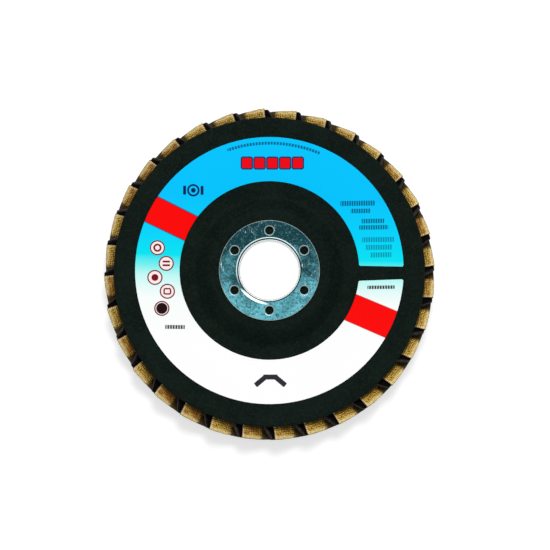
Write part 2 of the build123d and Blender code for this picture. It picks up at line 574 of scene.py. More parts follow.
hidden_length = flap_length - shown_length
length_lines = np.concatenate(
    [
        np.linspace(0, hidden_length, hidden_lines, endpoint=False),
        np.linspace(hidden_length, flap_length, shown_lines),
    ]
)
width_lines = np.concatenate(
    [
        np.linspace(0, root_strip, root_lines, endpoint=False),
        np.linspace(root_strip, flap_width, other_lines),
    ]
)


def slab_faces(columns, rows):
    """Faces of a closed slab: the back grid, the front grid, and walls between their rims.

    The points come in the order back, front, inner wall rings. The back is numbered
    from 0 and the front from columns * rows.
    """
    count = columns * rows
    grid = quads(columns, rows)
    rim = rim_of(columns, rows)
    ring_numbers = 2 * count + np.arange((wall_bands - 1) * len(rim)).reshape(wall_bands - 1, -1)
    levels = np.concatenate([rim[None], ring_numbers, rim[None] + count])
    beside = np.roll(levels, -1, axis=1)
    walls = np.stack([levels[:-1], levels[1:], beside[1:], beside[:-1]], axis=-1).reshape(-1, 4)
    return np.concatenate([grid, grid[:, ::-1] + count, walls]), rim


flap_faces, flap_rim = slab_faces(len(length_lines), len(width_lines))
grit_faces = np.zeros(len(flap_faces), bool)
one_side = (len(length_lines) - 1) * (len(width_lines) - 1)
grit_faces[one_side:] = True
print(f"one flap: {len(flap_faces)} faces, of which {one_side} on each side")

# %% [markdown]
# ## Golden flaps
# The stiff golden cloth carries the coarse grain. Its yarns run across the flap, so they
# end at the root and at the free edge, where the blade that cut them left a row of
# little tufts. The grain side breaks away at the edges in crumbs.
# Every flap has its own seed, so that no two edges are alike, and the result is the same
# each time.


# %% Shape of a golden flap
def roughness_of(rng, shape, smooth=0):
    """Random heights from -1 to 1, averaged with their neighbours smooth times."""
    heights = rng.uniform(-1, 1, shape)
    for _ in range(smooth):
        for axis in range(len(shape)):
            heights = (np.roll(heights, 1, axis) + 2 * heights + np.roll(heights, -1, axis)) / 4
    return heights / max(np.abs(heights).max(), 1e-6)


fine_grain = 0.09
coarse_grain = 0.07
grain_rise = 0.05
ridge_start = 1.5


def slab(rng, x, y, fray, crumble, ridge, bow):
    """Points of one slab in millimetres, and the resting place of each in the cloth.

    x and y are grids of places in the cloth, along the flap and across it, and u and v
    are the same as shares of its length and width. bow is (lift, curl, wave).

    The back lies at u^2 (lift + curl v^2) + wave sin(3 pi u), a lift of the outer end, a
    curl of its free corner and a slow wave, plus the relief of the yarns, which is
    ridge * cos(2 pi x / pitch) and starts over 1.5 mm. The front lies one thickness
    lower with random grain. A rim point moves out by the fray of its yarn at the root
    and the free edge, and by crumble elsewhere.
    """
    shape = x.shape
    rest = np.stack([x, y, np.zeros(shape)], axis=-1)
    lift, curl, wave = bow
    u, v = x / flap_length, y / flap_width
    bent = u**2 * (lift + curl * v**2) + wave * np.sin(3 * math.pi * u)
    near_end = np.clip((x - hidden_length) / ridge_start, 0, 1)
    yarns = ridge * near_end * np.cos(2 * math.pi * x / yarn_pitch)
    back = rest + np.stack([0 * x, 0 * x, bent + yarns], axis=-1)
    grain = fine_grain * roughness_of(rng, shape) + coarse_grain * roughness_of(rng, shape, smooth=3)
    front = rest + np.stack([0 * x, 0 * x, bent - flap_t + grain_rise + grain], axis=-1)

    at_root, at_free = (y == y.min()), (y == y.max())
    at_inner, at_outer = np.zeros(shape, bool), np.zeros(shape, bool)
    at_inner[0], at_outer[-1] = True, True
    yarn = np.floor(x / yarn_pitch + 0.5).astype(int)
    own = rng.uniform(0.1, 1, yarn.max() + 1)[yarn]
    tuft = fray * own * np.abs(np.cos(math.pi * x / yarn_pitch)) ** 0.6
    uneven = crumble * roughness_of(rng, shape, smooth=1)
    move_y = np.where(at_root, -tuft, 0) + np.where(at_free, tuft, 0)
    move_x = np.where(at_outer, uneven, 0) + np.where(at_inner, -np.abs(uneven), 0)
    back = back + np.stack([move_x * 0.6, move_y, 0 * x], axis=-1)
    broken = np.abs(roughness_of(rng, shape)) * crumble * 2
    move_y = np.where(at_root, broken, 0) - np.where(at_free, broken, 0)
    move_x = np.where(at_inner, broken, 0) - np.where(at_outer, 0.6 * broken, 0)
    front = front + np.stack([move_x, move_y, 0 * x], axis=-1)
    front_rest = rest - (0, 0, flap_t)

    top, low = back.reshape(-1, 3)[flap_rim], front.reshape(-1, 3)[flap_rim]
    down = np.linspace(0, 1, wall_bands + 1)[1:-1, None, None]
    ragged = rng.uniform(-1, 1, (wall_bands - 1, len(flap_rim), 1)) * crumble * 0.5
    outward = (top + low) / 2 - (flap_length / 2, flap_width / 2, 0)
    outward = outward / np.linalg.norm(outward, axis=-1, keepdims=True)
    walls = top + down * (low - top) + ragged * outward
    wall_rest = rest.reshape(-1, 3)[flap_rim] - down * (0, 0, flap_t)
    points = np.concatenate([back.reshape(-1, 3), front.reshape(-1, 3), walls.reshape(-1, 3)])
    places = np.concatenate([rest.reshape(-1, 3), front_rest.reshape(-1, 3), wall_rest.reshape(-1, 3)])
    return points, places


golden_bow = (0.18, 0.22, 0.05)
x_lines, y_lines = np.meshgrid(length_lines, width_lines, indexing="ij")
x_golden = x_lines * trimmed_length(root_offset, y_lines) / flap_length
golden_flaps = []
for number in range(flap_count):
    rng = np.random.default_rng(1000 + number)
    bow = rng.uniform(-1, 1, 3) * golden_bow
    points, places = slab(rng, x_golden, y_lines, fray=0.22, crumble=0.12, ridge=0.05, bow=bow)
    angle = first_flap + number * flap_pitch
    further_out = slipped(angle) + rng.uniform(-0.12, 0.25)
    further_along = rng.uniform(-0.12, 0.12)
    shift = np.array([further_out, further_along, 0])
    corner, directions = flap_place(angle, root_offset)
    tone = np.full(len(points), rng.uniform(-1, 1))
    piece = put_piece(
        f"golden_flap_{number + 1:02d}",
        corner + (points + shift) @ directions,
        flap_faces,
        rough_faces=grit_faces,
        marks={"cloth": places, "tone": tone},
    )
    hand_over(piece, "golden_cloth", f"flap_{number + 1:02d}")
    golden_flaps.append(piece)
print(len(golden_flaps), "golden flaps of", len(points), "points")

# %% [markdown]
# ## Dark flaps
# Between two golden flaps lies a dark one of softer cloth. It starts a little earlier
# and has its outer root corner clipped off, so that it doesn't show past the plate
# before its neighbour does. Two dark flaps share a CAD node, so they share a mesh.

# %% Shape of a dark flap
clip_length = 4.7
clip_width = 2.3
dark_bow = (0.12, 0.2)
clip = np.clip(1 - y_lines / clip_width, 0, 1)
dark_length = trimmed_length(interleaf_offset, y_lines) - clip * clip_length
x_dark = x_lines * dark_length / flap_length
dark_flaps = []
for pair in range(flap_count // 2):
    skins, marks, tones = [], [], []
    for number in (2 * pair, 2 * pair + 1):
        rng = np.random.default_rng(2000 + number)
        lift, curl = rng.uniform(-1, 1, 2) * dark_bow
        bow = (lift, curl, 0)
        points, places = slab(rng, x_dark, y_lines, fray=0.1, crumble=0.08, ridge=0.03, bow=bow)
        angle = first_flap + number * flap_pitch
        corner, directions = flap_place(angle, interleaf_offset)
        shift = np.array([slipped(angle), 0, 0])
        skins.append((corner + (points + shift) @ directions, flap_faces))
        marks.append(places)
        tones.append(np.full(len(points), rng.uniform(-1, 1)))
    points = np.concatenate([skin[0] for skin in skins])
    faces = np.concatenate([flap_faces, flap_faces + len(skins[0][0])])
    piece = put_piece(
        f"dark_flaps_{pair + 1:02d}",
        points,
        faces,
        rough_faces=np.tile(grit_faces, 2),
        marks={"cloth": np.concatenate(marks), "tone": np.concatenate(tones)},
    )
    hand_over(piece, "dark_cloth", f"interleaf_{pair + 1:02d}")
    dark_flaps.append(piece)
print(len(dark_flaps), "pairs of dark flaps")

# %% [markdown]
# ## Writing shaders as arithmetic
# A material is a graph of nodes, and linking them one by one hides what they work out.
# The class below wraps an output socket, so that plus, minus and times between wrapped
# sockets add the Math nodes. One method adds every other kind of node.


# %% A wire between shader nodes
class Wire:
    """An output socket of a material. Arithmetic on it adds Math nodes to its tree."""

    def __init__(self, tree, socket=None):
        self.tree = tree
        self.socket = socket

    def node(self, kind, settings=None, sockets=None, output=0):
        """Adds any node: its settings are made first, then its sockets are filled."""
        made = self.tree.nodes.new(kind)
        for key, value in (settings or {}).items():
            if key == "stops":
                ramp = made.color_ramp
                while len(ramp.elements) < len(value):
                    ramp.elements.new(0.5)
                for element, (place, colour) in zip(ramp.elements, value):
                    element.position = place
                    element.color = colour
            else:
                setattr(made, key, value)
        for key, value in (sockets or {}).items():
            if isinstance(value, Wire):
                self.tree.links.new(value.socket, made.inputs[key])
            else:
                made.inputs[key].default_value = value
        return Wire(self.tree, made.outputs[output]) if len(made.outputs) else None

    def math(self, operation, *terms):
        """One Math node on these terms."""
        return self.node("ShaderNodeMath", {"operation": operation}, dict(enumerate(terms)))

    def __add__(self, other):
        return self.math("ADD", self, other)

    __radd__ = __add__

    def __sub__(self, other):
        return self.math("SUBTRACT", self, other)

    def __rsub__(self, other):
        return self.math("SUBTRACT", other, self)

    def __mul__(self, other):
        return self.math("MULTIPLY", self, other)

    __rmul__ = __mul__

    def __truediv__(self, other):
        return self.math("DIVIDE", self, other)

    def __pow__(self, other):
        return self.math("POWER", self, other)

    def __abs__(self):
        return self.math("ABSOLUTE", self)

    def least(self, other):
        """The smaller of two values."""
        return self.math("MINIMUM", self, other)

    def most(self, other):
        """The larger of two values."""
        return self.math("MAXIMUM", self, other)

    def ease(self, start, end):
        """0 where the value is at start and 1 at end, with a smooth step between them."""
        settings = {"interpolation_type": "SMOOTHSTEP"}
        return self.node("ShaderNodeMapRange", settings, {0: self, 1: start, 2: end})

    def stretched(self, x, y, z):
        """The vector with each direction multiplied by its own number."""
        return self.node("ShaderNodeVectorMath", {"operation": "MULTIPLY"}, {0: self, 1: (x, y, z)})

    def noise(self, scale, detail=2.0, rough=0.5):
        """Cloudy noise at this place, about 0.5 on average."""
        sockets = {"Vector": self, "Scale": scale, "Detail": detail, "Roughness": rough}
        return self.node("ShaderNodeTexNoise", None, sockets)

    def cells(self, scale, output="Distance"):
        """Random cells: the distance to the nearest centre, or the colour of the cell."""
        sockets = {"Vector": self, "Scale": scale}
        return self.node("ShaderNodeTexVoronoi", None, sockets, output)

    def parts(self):
        """The three numbers of a vector."""
        return [self.node("ShaderNodeSeparateXYZ", None, {0: self}, part) for part in range(3)]


def tint(red, green, blue):
    """A colour on the 0 to 255 scale of a picture, as the light values that shaders use."""
    scaled = np.array([red, green, blue]) / 255
    light = np.where(scaled <= 0.04045, scaled / 12.92, ((scaled + 0.055) / 1.055) ** 2.4)
    return (*light.tolist(), 1.0)


def mixed(share, first, second):
    """A colour between two: the first where share is 0 and the second where it is 1."""
    wire = next(w for w in (share, first, second) if isinstance(w, Wire))
    return wire.node("ShaderNodeMix", {"data_type": "RGBA"}, {0: share, 6: first, 7: second}, 2)


def from_point(x, y, centre=(0, 0)):
    """Distance of the place (x, y) from a point."""
    dx, dy = x - centre[0], y - centre[1]
    return (dx * dx + dy * dy) ** 0.5


def beyond(x, y, start, end):
    """Distance of a place from the line through two points, positive on its left."""
    length = math.dist(start, end)
    along, up = (end[0] - start[0]) / length, (end[1] - start[1]) / length
    return y * along - x * up + (start[0] * up - start[1] * along)


def stripe(wire, pitch):
    """A wave of this pitch: 1 where the wire is 0 or a whole pitch, and 0 half way between."""
    phase = wire * (2 * math.pi / pitch)
    return phase.math("COSINE", phase) * 0.5 + 0.5


def in_the_room(wire):
    """Where a point lies in the frame of the disc, in millimetres."""
    return wire.node("ShaderNodeTexCoord", None, None, "Object").stretched(1000, 1000, 1000)


def in_the_cloth(wire):
    """Where a point lies in its flap, in millimetres."""
    return wire.node("ShaderNodeAttribute", {"attribute_name": "cloth"}, None, "Vector")


def tone_of_flap(wire):
    """The flap's own random number, from -1 to 1."""
    return wire.node("ShaderNodeAttribute", {"attribute_name": "tone"}, None, "Fac")


def start_finish(name, specular, place=in_the_room):
    """A new material, its surface shader, and the wire of places in millimetres."""
    material = bpy.data.materials.new(name)
    material.use_nodes = True
    tree = material.node_tree
    shader = tree.nodes["Principled BSDF"]
    shader.inputs["Specular IOR Level"].default_value = specular
    return material, shader, place(Wire(tree))


def finish_with(shader, **wires):
    """Links the wires to the sockets of a surface shader; relief is a height in mm."""
    tree = shader.id_data
    relief = wires.pop("relief", None)
    for socket, wire in wires.items():
        if isinstance(wire, Wire):
            tree.links.new(wire.socket, shader.inputs[socket.replace("_", " ")])
        else:
            shader.inputs[socket.replace("_", " ")].default_value = wire
    if relief is not None:
        bump = relief.node("ShaderNodeBump", None, {"Strength": 1.0, "Distance": MM, "Height": relief})
        tree.links.new(bump.socket, shader.inputs["Normal"])


def dress(material, *pieces):
    """Gives these pieces the material as their only one."""
    for piece in pieces:
        piece.data.materials.clear()
        piece.data.materials.append(material)
    print(f"{material.name}: {len(material.node_tree.nodes)} nodes on {len(pieces)} pieces")


# %% [markdown]
# ## Moulded resin
# The plate is black resin with glass fibre in it, pressed between rough steel moulds. It
# is nearly matte, slightly greenish, with a fine grain and a few pale flecks of fibre
# and dust. The noise is measured in millimetres, so the grain keeps its real size.

# %% Finish of the plate
material, shader, spot = start_finish("black_resin", 0.04)
cloud = spot.noise(0.11, 3.0)
grain = spot.noise(3.2, 3.0, 0.6)
mottle = spot.noise(0.9, 2.0)
flecks = spot.cells(0.55).ease(0.085, 0.05) * spot.noise(0.4).ease(0.5, 0.7)
body = mixed(cloud.ease(0.35, 0.65), tint(1, 11, 8), tint(6, 19, 15))
body = mixed(mottle.ease(0.45, 0.7) * 0.6, body, tint(24, 28, 18))
body = mixed(grain.ease(0.48, 0.7) * 0.7, body, tint(24, 40, 36))
body = mixed(flecks * 0.5, body, tint(70, 84, 78))
finish_with(
    shader,
    Base_Color=body,
    Roughness=0.52 + 0.2 * grain,
    relief=0.035 * grain + 0.03 * mottle,
)
dress(material, plate)

# %% [markdown]
# ## Zinc-plated steel
# Bright zinc with a blue passivation looks bluish green, in clouds and in a fine
# crystal pattern. Over the clouds a painted reflection makes the ring darker towards the
# top and lighter towards the bottom. Where the metal turns over an edge, at the rim and at
# the holes, it is painted lighter, partly as zinc rubbed bare by handling and partly as a
# painted highlight. The round inside the mouth of the bore is a painted highlight, with a
# painted crescent at its lower left and a painted sheen at its upper left, and a painted
# shade line lies where the flat meets the round of the bore.
# Metal has no colour of its own but tints what it mirrors, so the colour goes into a
# metallic surface. The six holes would need six distances, but all sectors are alike:
# the angle is folded into one sector, and one distance serves them all.


# %% Finish of the ring
def scratches(spot, turn, scale, width):
    """Thin lines in one direction: stretched noise, kept only near its middle value."""
    stretch = (scale, scale * 0.06, scale)
    sockets = {"Vector": spot, "Rotation": (0, 0, math.radians(turn)), "Scale": stretch}
    drawn_out = spot.node("ShaderNodeMapping", None, sockets).noise(1.0, 1.0)
    return abs(drawn_out - 0.5).ease(width, 0.0) * spot.noise(0.3, 1.0).ease(0.56, 0.68)


material, shader, spot = start_finish("blue_zinc", 0.5)
x, y, _ = spot.parts()
radius = from_point(x, y)
sector = 2 * math.pi / hole_count
turns = y.math("ARCTAN2", y, x) / sector
swing = (turns.math("FLOORED_MODULO", turns, 1.0) - 0.5) * sector
along, aside = radius * swing.math("COSINE", swing), radius * swing.math("SINE", swing)
from_hole = from_point(along, aside, (hole_pcd_r, 0))

clouds = spot.noise(0.16, 3.0, 0.6)
crystals = spot.noise(1.1, 4.0, 0.7)
sparks = spot.noise(2.4, 2.0, 0.7)
# Painted reflection: the steel is painted darker towards the top and lighter towards the bottom, over
# random clouds.
clouds_and_painted_reflection = (clouds + 0.018 * y).ease(0.06, 0.72)
steel = mixed(clouds_and_painted_reflection, tint(72, 134, 144), tint(13, 38, 42))
steel = mixed(crystals.ease(0.52, 0.36) * 0.8, steel, tint(10, 34, 42))
steel = mixed(crystals.ease(0.55, 0.72) * 0.5, steel, tint(84, 150, 160))
steel = mixed(sparks.ease(0.6, 0.7) * (0.7 - 0.6 * clouds_and_painted_reflection), steel, tint(150, 196, 200))
marks = scratches(spot, 28, 1.1, 0.014).most(scratches(spot, -52, 0.9, 0.01))
steel = mixed(marks * 0.75, steel, tint(170, 204, 206))

wear_and_highlight = spot.noise(0.5, 2.0)
# Painted shade and highlight at the bore: a dark line where the flat meets the round, and the round
# inside painted nearly white.
painted_bore_shade = radius.ease(12.16, 12.04)
painted_bore_highlight = radius.ease(11.68, 11.56)
steel = mixed(painted_bore_shade * 0.95, steel, tint(12, 24, 26))
steel = mixed(painted_bore_highlight, steel, tint(240, 246, 246))
# The rim and the hole edges are painted lighter, partly as zinc rubbed bare and partly as a painted
# highlight.
edge = radius.ease(18.72, 18.86) * (0.45 + 0.4 * wear_and_highlight)
collar = from_hole.ease(2.0, 1.88) * (0.3 + 0.5 * wear_and_highlight)
# Painted highlights by the mouth of the bore: a crescent at the lower left and a sheen at the upper
# left.
upper_left = (y - 0.4 * x).ease(-3, 5)
lower_left = (0 - (0.5 * x + 0.87 * y)).ease(11.1, 12.1)
painted_crescent = lower_left * radius.ease(13.1, 12.85) * radius.ease(11.9, 12.15)
painted_sheen = upper_left * radius.ease(12.1, 12.22) * radius.ease(12.62, 12.46) * 0.5
# All the lighter marks together: painted highlights, with some wear at the rim and the holes.
bright = edge.most(collar).most(painted_crescent).most(painted_sheen)
steel = mixed(bright, steel, tint(196, 214, 214))
finish_with(
    shader,
    Base_Color=steel,
    Metallic=1.0,
    Roughness=0.36 + 0.14 * crystals - 0.08 * bright,
    relief=0.03 * crystals + 0.03 * clouds - 0.015 * marks,
)
dress(material, ring)

# %% [markdown]
# ## Printed paper
# The label is printed in flat inks: a blue that fades to white, two slanting red bands,
# and dark marks. An image would do, but ink worked out from the place on the label is
# sharp at any size. Each shape is a distance from its edge, worked out from x and y in
# millimetres and negative inside. One function turns that into 1 inside and 0 outside,
# and one mixing line lays the ink on what is under it.
# The marks are plain tiles, bars and rounds that say nothing.


# %% Shapes to print
def box_of_ink(x, y, centre, size, corner=0.2, turn=0.0):
    """Distance outside a bar with round corners, turned about its centre."""
    c, s = math.cos(math.radians(turn)), math.sin(math.radians(turn))
    dx, dy = x - centre[0], y - centre[1]
    u = abs(dx * c + dy * s) - (size[0] / 2 - corner)
    v = abs(dy * c - dx * s) - (size[1] / 2 - corner)
    outside = (u.most(0) ** 2 + v.most(0) ** 2) ** 0.5
    return outside + u.most(v).least(0) - corner


def inked(distance, edge=0.06):
    """1 inside a shape, where the distance is negative, and 0 outside."""
    return distance.ease(edge, -edge)


# %% Inks of the label and its fade
def nearest(distances):
    """The smallest of several distances, so that shapes can be laid in one ink."""
    smallest, *others = distances
    for other in others:
        smallest = smallest.least(other)
    return smallest


def bars(x, y, rows, corner=0.3):
    """Distance outside the nearest of several level bars, given as (x, y, length, height)."""
    return nearest([box_of_ink(x, y, row[:2], row[2:], corner) for row in rows])


material, shader, spot = start_finish("printed_paper", 0.03)
x, y, _ = spot.parts()
navy = tint(6, 34, 86)
charcoal = tint(42, 42, 48)
red = tint(252, 2, 2)
maroon = tint(120, 14, 26)

fade_low = -14.0
fade_high = 30.0
fade = (y + 0.03 * x - fade_low) / (fade_high - fade_low)
inks = [
    (-11.5, tint(250, 254, 253)),
    (-7.3, tint(230, 252, 250)),
    (-3.0, tint(195, 250, 246)),
    (1.0, tint(118, 240, 240)),
    (5.0, tint(0, 228, 243)),
    (13.5, tint(0, 212, 252)),
    (28.0, tint(0, 196, 254)),
]
stops = [((height - fade_low) / (fade_high - fade_low), colour) for height, colour in inks]
ink = fade.node("ShaderNodeValToRGB", {"stops": stops}, {0: fade})
ink = mixed(y.ease(-14, -26), ink, tint(255, 255, 255))

# %% Red bands with thin dark rules beside them
left_rule = 0.2
right_rule = 0.12
rule_softness = 0.12

left_upper = beyond(x, y, (-41.4, 27.8), (-26.9, 20.7))
left_lower = beyond(x, y, (-46.8, 18.5), (-31.2, 11.2))
right_upper = beyond(x, y, (32.6, -8.65), (48.1, -15.4))
right_lower = beyond(x, y, (28.3, -18.5), (36.5, -22.2))
left_side = x.ease(-19, -20)
right_side = x.ease(19, 20)
left_band = inked(left_upper) * inked(0 - left_lower) * left_side
right_band = inked(right_upper) * inked(0 - right_lower) * right_side
ink = mixed(left_band.most(right_band), ink, red)
left_lines = abs(left_upper).least(abs(left_lower)) - left_rule
right_lines = abs(right_upper).least(abs(right_lower)) - right_rule
left_rules = inked(left_lines, rule_softness) * left_side
right_rules = inked(right_lines, rule_softness) * right_side
ink = mixed(left_rules * 0.8, ink, navy)
ink = mixed(right_rules * 0.6, ink, maroon)
print("bands and fade:", len(material.node_tree.nodes), "nodes")

# %% Red tiles and a hatched arc above them
tile_pitch = 4.85
tile_size = (4.7, 4.9)
tile_rim = 0.5
arc_r = 48.8
arc_half_height = 0.55

places = [(1.1 + tile_pitch * n, 41.3) for n in range(-2, 3)]
tiles = nearest([box_of_ink(x, y, place, tile_size, 0.9) for place in places])
ink = mixed(inked(tiles), ink, navy)
ink = mixed(inked(tiles + tile_rim), ink, tint(236, 6, 22))
way_round = y.math("ARCTAN2", y, x) * label_inner_r
arc = abs(from_point(x, y) - arc_r) - arc_half_height
wedge = inked(beyond(x, y, (0, 0), (-16, 46))) * inked(0 - beyond(x, y, (0, 0), (19, 44.5)))
ink = mixed(inked(arc) * wedge * (0.2 + 0.7 * stripe(way_round, 0.8)), ink, navy)
print("with tiles and arc:", len(material.node_tree.nodes), "nodes")

# %% Hatched bars
bold_rows = [
    (33.45, 25.8, 12.95, 1.9),
    (34.6, 22.9, 7.6, 1.7),
    (39.2, 19.0, 8.5, 1.7),
    (39.5, 16.6, 10.9, 1.7),
]
faint_rows = [(41.1, 11.9, 12.0, 1.9), (41.4, 9.0, 9.9, 1.9), (42.1, 6.1, 7.9, 1.9)]
small_rows = [(42.1, -6.2, 10.2, 1.3), (-35.5, -21.2, 7.3, 1.5)]
hatch = 0.25 + 0.75 * stripe(x, 0.9).ease(0.2, 0.7)
fine_hatch = 0.4 + 0.6 * stripe(x, 1.0).ease(0.2, 0.6)
ink = mixed(inked(bars(x, y, bold_rows)) * hatch * 0.85, ink, navy)
ink = mixed(inked(bars(x, y, faint_rows)) * hatch * 0.6, ink, navy)
ink = mixed(inked(bars(x, y, small_rows, 0.2)) * fine_hatch, ink, charcoal)
print("with bars:", len(material.node_tree.nodes), "nodes")

# %% A sign of a shallow cone, and a seal
slope_size = (4.8, 1.9)
slope_turn = 40
cone_sign = [
    box_of_ink(x, y, (0.4, -40.0), (5.4, 1.9), 0.3),
    box_of_ink(x, y, (-3.4, -41.6), slope_size, 0.3, slope_turn),
    box_of_ink(x, y, (4.2, -41.6), slope_size, 0.3, -slope_turn),
]
ink = mixed(inked(nearest(cone_sign)), ink, charcoal)

seal_x, seal_y = -28.9, 30.8
seal_ring_r = 2.0
seal_dot_r = 0.9
from_seal = from_point(x, y, (seal_x, seal_y))
seal = [
    abs(from_seal - seal_ring_r) - 0.35,
    from_seal - seal_dot_r,
    bars(x, y, [(seal_x - 3.3, seal_y, 1.1, 3.4), (seal_x + 3.3, seal_y, 1.1, 3.4)]),
]
ink = mixed(inked(nearest(seal)), ink, navy)
print("with sign and seal:", len(material.node_tree.nodes), "nodes")

# %% Five round badges with plain shapes in them
badge_r = 2.8
badge_rule_r = 2.62
rounds = [(-42.35, 8.8), (-39.0, 2.9), (-43.2, -2.5), (-38.5, -7.7), (-40.5, -14.2)]
first, second, third, fourth, fifth = rounds
badge = nearest([from_point(x, y, centre) for centre in rounds])
ink = mixed(inked(badge - badge_r), ink, tint(255, 236, 236))
ink = mixed(inked(abs(badge - badge_rule_r) - 0.24), ink, maroon)
two_bars = [(second[0], second[1] + 0.7, 2.8, 0.7), (second[0], second[1] - 0.7, 2.8, 0.7)]
shapes = [
    abs(from_point(x, y, first) - 1.2) - 0.35,
    bars(x, y, two_bars, 0.2),
    from_point(x, y, third) - 1.3,
    abs(box_of_ink(x, y, fourth, (2.4, 2.0), 0.5)) - 0.28,
]
ink = mixed(inked(nearest(shapes)), ink, maroon)
ink = mixed(inked(from_point(x, y, fifth) - 2.1), ink, tint(30, 5, 8))
print("with badges:", len(material.node_tree.nodes), "nodes")

# %% Paper under the ink
pulp = spot.noise(2.5, 3.0)
finish_with(
    shader,
    Base_Color=ink,
    Roughness=0.38 + 0.1 * pulp,
    relief=0.01 * pulp + 0.03 * spot.noise(0.35),
)
dress(material, label)

# %% [markdown]
# ## Woven golden cloth
# The finish of a flap follows its cloth and not the room, so it reads where each point
# lies in the flap: how far out, how far across, and how deep.
# It is a plain weave. A yarn is painted light on its crown and painted dark where it dives
# under the next one, as painted highlight and shade of the weave, so two sets of stripes,
# one each way, take turns like the squares of a chessboard. The cut ends at the root are
# pale tufts. Beside the plate the cloth is darkened as a painted shadow of the plate's
# edge, partly also as resin stain, and under the next flap it is darkened as painted
# shade. A painted light strip runs along the outer end, and painted shade lies on its cut
# end. Below a third of the depth comes brown grain. Only the painted shadow beside the
# plate is measured from the axis of the disc, because it ends at the same radius on every
# flap.

# %% Finish of the golden flaps
material, shader, spot = start_finish("golden_cloth", 0.06, in_the_cloth)
x, y, depth = spot.parts()
tone = tone_of_flap(spot)
wobble = spot.stretched(0.9, 0.4, 1).noise(0.9, 1.0)
fibre = spot.stretched(2.4, 1.1, 2.2).noise(1.0, 3.0, 0.75)
patch = spot.stretched(0.5, 0.3, 0.5).noise(1.0, 2.0)
loose = 0.9 * patch + 0.25 * fibre
across_yarns = stripe(x + loose, yarn_pitch)
along_yarns = stripe(y + loose, yarn_pitch)
turns = stripe(x, 2 * yarn_pitch) * stripe(y, 2 * yarn_pitch)
turns = turns + (1 - stripe(x, 2 * yarn_pitch)) * (1 - stripe(y, 2 * yarn_pitch))
weave = across_yarns * turns + along_yarns * (1 - turns)

# The weave is painted: light on the yarn crowns as painted highlight, dark where the yarns dive under
# as painted shade.
lit_yarn = (0.6 * weave + 2.4 * (fibre - 0.4)).ease(0.1, 0.9)
painted_crown_highlight = (weave * fibre).ease(0.3, 0.55)
brown_patch = (patch + 0.1 * tone).ease(0.5, 0.66)
red_patch = (tone + 3 * (patch - 0.5)).ease(0.3, 0.9)
cloth = mixed(lit_yarn, tint(70, 48, 6), tint(220, 174, 72))
cloth = mixed(painted_crown_highlight * 0.7, cloth, tint(252, 220, 132))
cloth = mixed(brown_patch * 0.6, cloth, tint(120, 66, 20))
cloth = mixed(red_patch * 0.35, cloth, tint(150, 78, 34))
# Painted shadow of the plate's edge, partly resin stain: the cloth is darker within about 60 mm of the
# axis.
from_axis = from_point(*in_the_room(spot).parts()[:2])
plate_shadow_and_stain = (from_axis + 0.6 * wobble + 0.7 * fibre + 0.2 * tone).ease(60.9, 59.1)
cloth = mixed(plate_shadow_and_stain * 0.85, cloth, tint(40, 25, 6))
# Painted light: a pale strip along the outer end of the flap.
painted_light_outer_strip = (x + 0.5 * fibre).ease(23.4, 24.5) * fibre.ease(0.28, 0.55)
# Painted shade: the cloth goes dark where the next flap covers it.
painted_shade_under_next = (y + 1.6 * wobble + 0.6 * tone).ease(7.8, 10.0)
tufts = (y + 1.4 * fibre).ease(1.45, 0.7) * (0.2 + 0.8 * across_yarns) * patch.ease(0.3, 0.5)
# Painted shade on the cut outer end of the flap.
shaded_cut_end = (x + 0.3 * fibre).ease(24.95, 25.1)
cloth = mixed(painted_light_outer_strip * 0.8, cloth, tint(250, 226, 156))
cloth = mixed(painted_shade_under_next * 0.92, cloth, tint(26, 18, 8))
cloth = mixed(tufts * 0.95, cloth, tint(255, 232, 176))
cloth = mixed(shaded_cut_end * 0.8, cloth, tint(52, 32, 12))

shade = spot.cells(1.9, "Color").parts()[0]
facet = spot.cells(1.9)
grit = mixed(shade, tint(26, 15, 5), tint(84, 56, 24))
grit = mixed(shade.ease(0.86, 0.95), grit, tint(160, 128, 78))
on_front = (depth + 0.12 * wobble).ease(-0.36, -0.46)
finish_with(
    shader,
    Base_Color=mixed(on_front, cloth, grit),
    Roughness=0.8 - 0.3 * on_front * shade,
    relief=(1 - on_front) * (0.1 * weave + 0.06 * fibre) + 0.3 * on_front * facet,
)
dress(material, *golden_flaps)

# %% [markdown]
# ## Dark cloth
# The dark flaps are a thinner cloth, dyed nearly black with a violet cast. Where they
# are cut the undyed core shows as a grey line, best seen along the clipped corner, and
# on some of them the back is lighter grey beside that cut.

# %% Finish of the dark flaps
material, shader, spot = start_finish("dark_cloth", 0.05, in_the_cloth)
x, y, depth = spot.parts()
tone = tone_of_flap(spot)
twill = stripe(x + y, yarn_pitch)
fibre = spot.stretched(7, 1.4, 7).noise(1.0, 3.0, 0.6)
core = depth.ease(-0.06, -0.16) * depth.ease(-1.02, -0.9)
dyed = mixed(twill, tint(4, 3, 3), tint(12, 10, 11))
dyed = mixed(fibre.ease(0.5, 0.8) * 0.5, dyed, tint(34, 30, 32))
dyed = mixed((0.5 + 0.5 * tone) * 0.35, dyed, tint(14, 10, 6))
clip_end = float(trimmed_length(interleaf_offset, clip_width))
clip_start = float(trimmed_length(interleaf_offset, 0)) - clip_length
from_cut = beyond(x, y, (clip_start, 0), (clip_end, clip_width))
grey_beside_cut = from_cut.ease(0.8, 0.3) * fibre.ease(0.42, 0.62) * (tone + spot.noise(1.3)).ease(0.1, 0.9)
dyed = mixed(grey_beside_cut * 0.55, dyed, tint(118, 110, 112))
cut = mixed(fibre.ease(0.4, 0.6), tint(12, 10, 12), tint(84, 80, 84))
dyed = mixed(core, dyed, cut)

